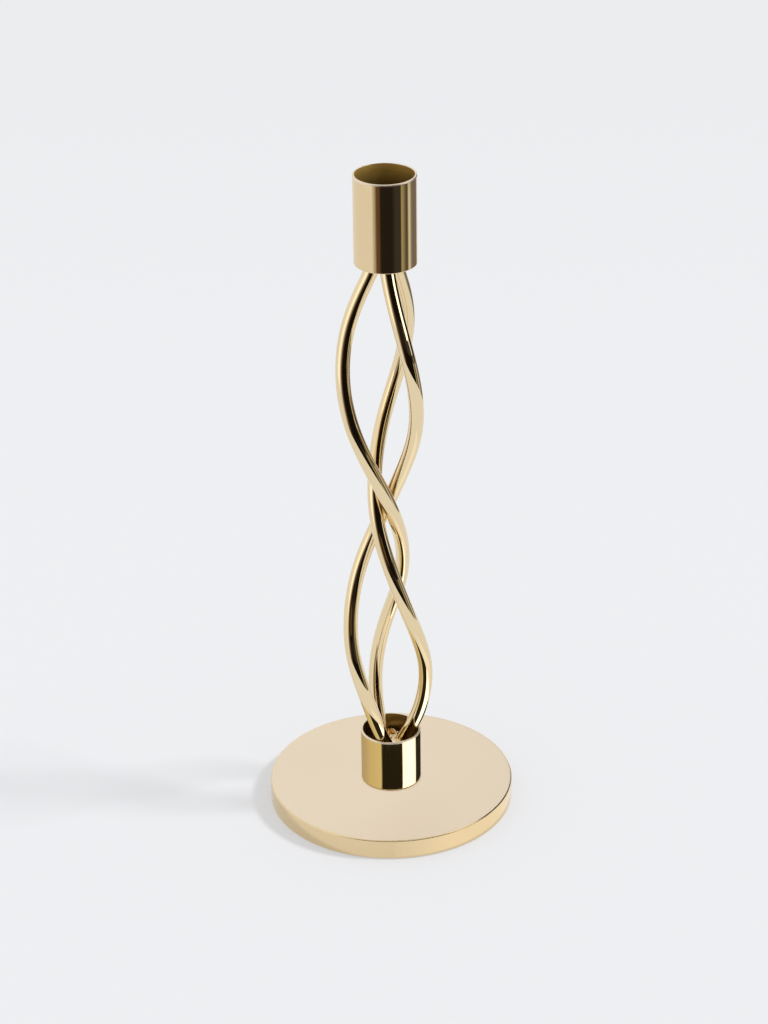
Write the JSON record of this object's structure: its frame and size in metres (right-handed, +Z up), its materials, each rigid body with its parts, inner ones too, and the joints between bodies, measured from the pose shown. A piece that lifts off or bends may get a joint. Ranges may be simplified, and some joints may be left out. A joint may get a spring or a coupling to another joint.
{
  "type": "candle holder",
  "caption": "Tall candlestick: a round base and open collar carry twisted rods that swell into two baskets about a tight waist and hold a tube for a taper candle.",
  "frame": {"origin": "on the ground under the middle of the base, at the felt pad's underside", "axes": "+Z up along the holder's axis, -Y towards the picture's viewer, +X to the viewer's right"},
  "size_m": [0.1, 0.1, 0.2738],
  "materials": {
    "polished_brass": "mirror polished, gold tone",
    "satin_brass": "fine satin, gold tone",
    "bare_steel": "turned",
    "zinc_steel": "zinc plated",
    "braze_filler": "as flowed",
    "felt": "pressed felt",
    "clear_film": "thin film"
  },
  "bodies": {
    "root": {"base_disc": "satin_brass", "lower_collar": "polished_brass", "spiral_rod_1": "polished_brass", "spiral_rod_2": "polished_brass", "spiral_rod_3": "polished_brass", "socket_tube": "polished_brass", "socket_floor": "polished_brass", "collar_hub": "bare_steel", "lower_braze": "braze_filler", "upper_braze": "braze_filler", "mound_braze": "braze_filler", "fixing_screw": "zinc_steel", "lock_washer": "zinc_steel", "base_felt_pad": "felt", "pad_film": "clear_film"}
  },
  "joints": []
}
